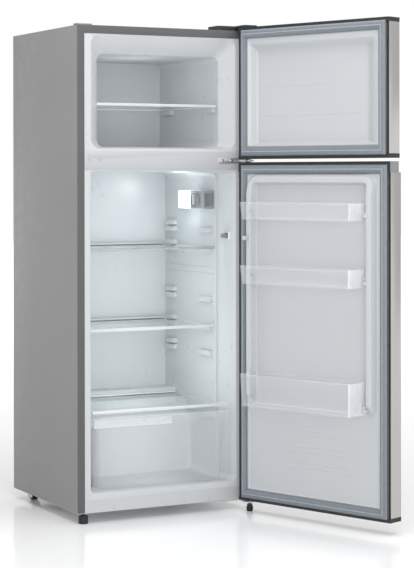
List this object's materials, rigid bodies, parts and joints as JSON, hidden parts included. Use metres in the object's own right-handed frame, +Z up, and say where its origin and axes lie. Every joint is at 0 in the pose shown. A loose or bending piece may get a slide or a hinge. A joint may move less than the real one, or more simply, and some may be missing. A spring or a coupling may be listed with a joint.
{
  "type": "top freezer refrigerator",
  "caption": "Free-standing refrigerator with a small freezer on top, two open hinged doors, sliding glass shelves, a clear drawer and clear door bins.",
  "frame": {"origin": "on the floor at the centre of the footprint with both doors open as stored", "axes": "+Z up, +Y from the doors to the back of the cabinet, +X to the hinge side (right seen from the front)"},
  "size_m": [0.7286, 1.0388, 1.41],
  "materials": {
    "side_steel": "satin",
    "back_steel": "matte",
    "flange_steel": "satin",
    "zinc_steel": "satin",
    "door_steel": "satin",
    "liner_white": "satin",
    "door_liner_white": "satin",
    "trim_white": "satin",
    "trim_grey": "satin",
    "cap_dark": "satin",
    "gasket_grey": "matte",
    "foam": "matte",
    "shelf_glass": "polished",
    "clear_plastic": "polished",
    "lens_white": "satin",
    "board_green": "satin",
    "copper": "satin",
    "condenser_steel": "satin",
    "evaporator_aluminium": "satin",
    "compressor_black": "gloss",
    "rubber_black": "matte",
    "plastic_black": "satin",
    "screw_steel": "satin"
  },
  "bodies": {
    "cabinet": {"cabinet_shell": "side_steel", "back_panel": "back_steel", "bay_panel": "zinc_steel", "base_frame": "zinc_steel", "cabinet_foam": "foam", "fridge_liner": "liner_white", "freezer_liner": "liner_white", "mullion_cover": "liner_white", "mullion_screw_caps": "liner_white", "bottom_trim": "liner_white", "hinge_plug_cover": "trim_grey", "evaporator_plates": "evaporator_aluminium", "condenser_tube": "condenser_steel", "compressor": "compressor_black", "compressor_grommets": "rubber_black", "terminal_cover": "plastic_black", "refrigerant_tubes": "copper", "drip_tray": "plastic_black", "drain_tube": "trim_white", "cord_gland": "plastic_black", "wall_spacers": "plastic_black", "top_hinge_bracket": "zinc_steel", "top_hinge_cover": "cap_dark", "middle_hinge_bracket": "zinc_steel", "bottom_hinge_bracket": "zinc_steel", "hinge_screws": "screw_steel", "control_housing": "trim_white", "lamp_lens": "lens_white", "lamp_module": "board_green", "thermostat_body": "plastic_black", "door_switch_housing": "trim_white"},
    "rear_roller_left": {"rear_roller_left": "plastic_black"},
    "rear_roller_right": {"rear_roller_right": "plastic_black"},
    "levelling_foot_left": {"levelling_foot_left": "plastic_black"},
    "levelling_foot_right": {"levelling_foot_right": "plastic_black"},
    "dial": {"thermostat_dial": "trim_white"},
    "switch_lever": {"door_switch_lever": "trim_grey"},
    "freezer_shelf": {"freezer_shelf_glass": "clear_plastic", "freezer_shelf_trim": "trim_white"},
    "upper_shelf": {"upper_shelf_glass": "shelf_glass", "upper_shelf_trims": "trim_white"},
    "lower_shelf": {"lower_shelf_glass": "shelf_glass", "lower_shelf_trims": "trim_white"},
    "crisper_cover": {"crisper_cover_glass": "shelf_glass", "crisper_cover_trims": "trim_white"},
    "drawer": {"crisper_drawer": "clear_plastic"},
    "freezer_door": {"freezer_door_skin": "door_steel", "freezer_door_liner": "door_liner_white", "freezer_door_foam": "foam", "freezer_door_gasket": "gasket_grey", "freezer_door_caps": "cap_dark"},
    "fridge_door": {"fridge_door_skin": "door_steel", "fridge_door_liner": "door_liner_white", "fridge_door_foam": "foam", "fridge_door_gasket": "gasket_grey", "fridge_door_grip_cap": "trim_grey", "fridge_door_bottom_cap": "cap_dark"},
    "bin_upper": {"door_bin_upper": "clear_plastic"},
    "bin_middle": {"door_bin_middle": "clear_plastic"},
    "bin_lower": {"door_bin_lower": "clear_plastic"}
  },
  "joints": [
    {"name": "freezer_door_hinge", "type": "hinge", "parent": "cabinet", "child": "freezer_door", "pos_m": [0.1622, -0.0125, 1.03], "axis": [0, 0, 1], "range_deg": [-109.3, 15.7]},
    {"name": "fridge_door_hinge", "type": "hinge", "parent": "cabinet", "child": "fridge_door", "pos_m": [0.1622, -0.0125, 0.5], "axis": [0, 0, 1], "range_deg": [-110, 15]},
    {"name": "freezer_shelf_slide", "type": "slide", "parent": "cabinet", "child": "freezer_shelf", "axis": [0, -1, 0], "range_m": [0, 0.2]},
    {"name": "upper_shelf_slide", "type": "slide", "parent": "cabinet", "child": "upper_shelf", "axis": [0, -1, 0], "range_m": [0, 0.17]},
    {"name": "lower_shelf_slide", "type": "slide", "parent": "cabinet", "child": "lower_shelf", "axis": [0, -1, 0], "range_m": [0, 0.17]},
    {"name": "crisper_cover_slide", "type": "slide", "parent": "cabinet", "child": "crisper_cover", "axis": [0, -1, 0], "range_m": [0, 0.065]},
    {"name": "drawer_slide", "type": "slide", "parent": "cabinet", "child": "drawer", "axis": [0, -1, 0], "range_m": [0, 0.2]},
    {"name": "bin_upper_lift", "type": "slide", "parent": "fridge_door", "child": "bin_upper", "axis": [0, 0, 1], "range_m": [0, 0.035]},
    {"name": "bin_middle_lift", "type": "slide", "parent": "fridge_door", "child": "bin_middle", "axis": [0, 0, 1], "range_m": [0, 0.035]},
    {"name": "bin_lower_lift", "type": "slide", "parent": "fridge_door", "child": "bin_lower", "axis": [0, 0, 1], "range_m": [0, 0.035]},
    {"name": "dial_turn", "type": "hinge", "parent": "cabinet", "child": "dial", "pos_m": [0.0775, 0.1765, 0.903], "axis": [-1, 0, 0], "range_deg": [0, 270]},
    {"name": "switch_press", "type": "hinge", "parent": "cabinet", "child": "switch_lever", "pos_m": [0.1355, 0.0845, 0.798], "axis": [0, 0, 1], "range_deg": [0, 8], "stiffness_Nm_per_rad": 0.02},
    {"name": "foot_left_turn", "type": "hinge", "parent": "cabinet", "child": "levelling_foot_left", "pos_m": [-0.3425, 0.0395, 0], "axis": [0, 0, 1], "continuous": true},
    {"name": "foot_right_turn", "type": "hinge", "parent": "cabinet", "child": "levelling_foot_right", "pos_m": [0.1622, -0.0125, 0], "axis": [0, 0, 1], "continuous": true},
    {"name": "roller_left_turn", "type": "hinge", "parent": "cabinet", "child": "rear_roller_left", "pos_m": [-0.3225, 0.4525, 0.014], "axis": [1, 0, 0], "continuous": true},
    {"name": "roller_right_turn", "type": "hinge", "parent": "cabinet", "child": "rear_roller_right", "pos_m": [0.1375, 0.4525, 0.014], "axis": [1, 0, 0], "continuous": true}
  ]
}
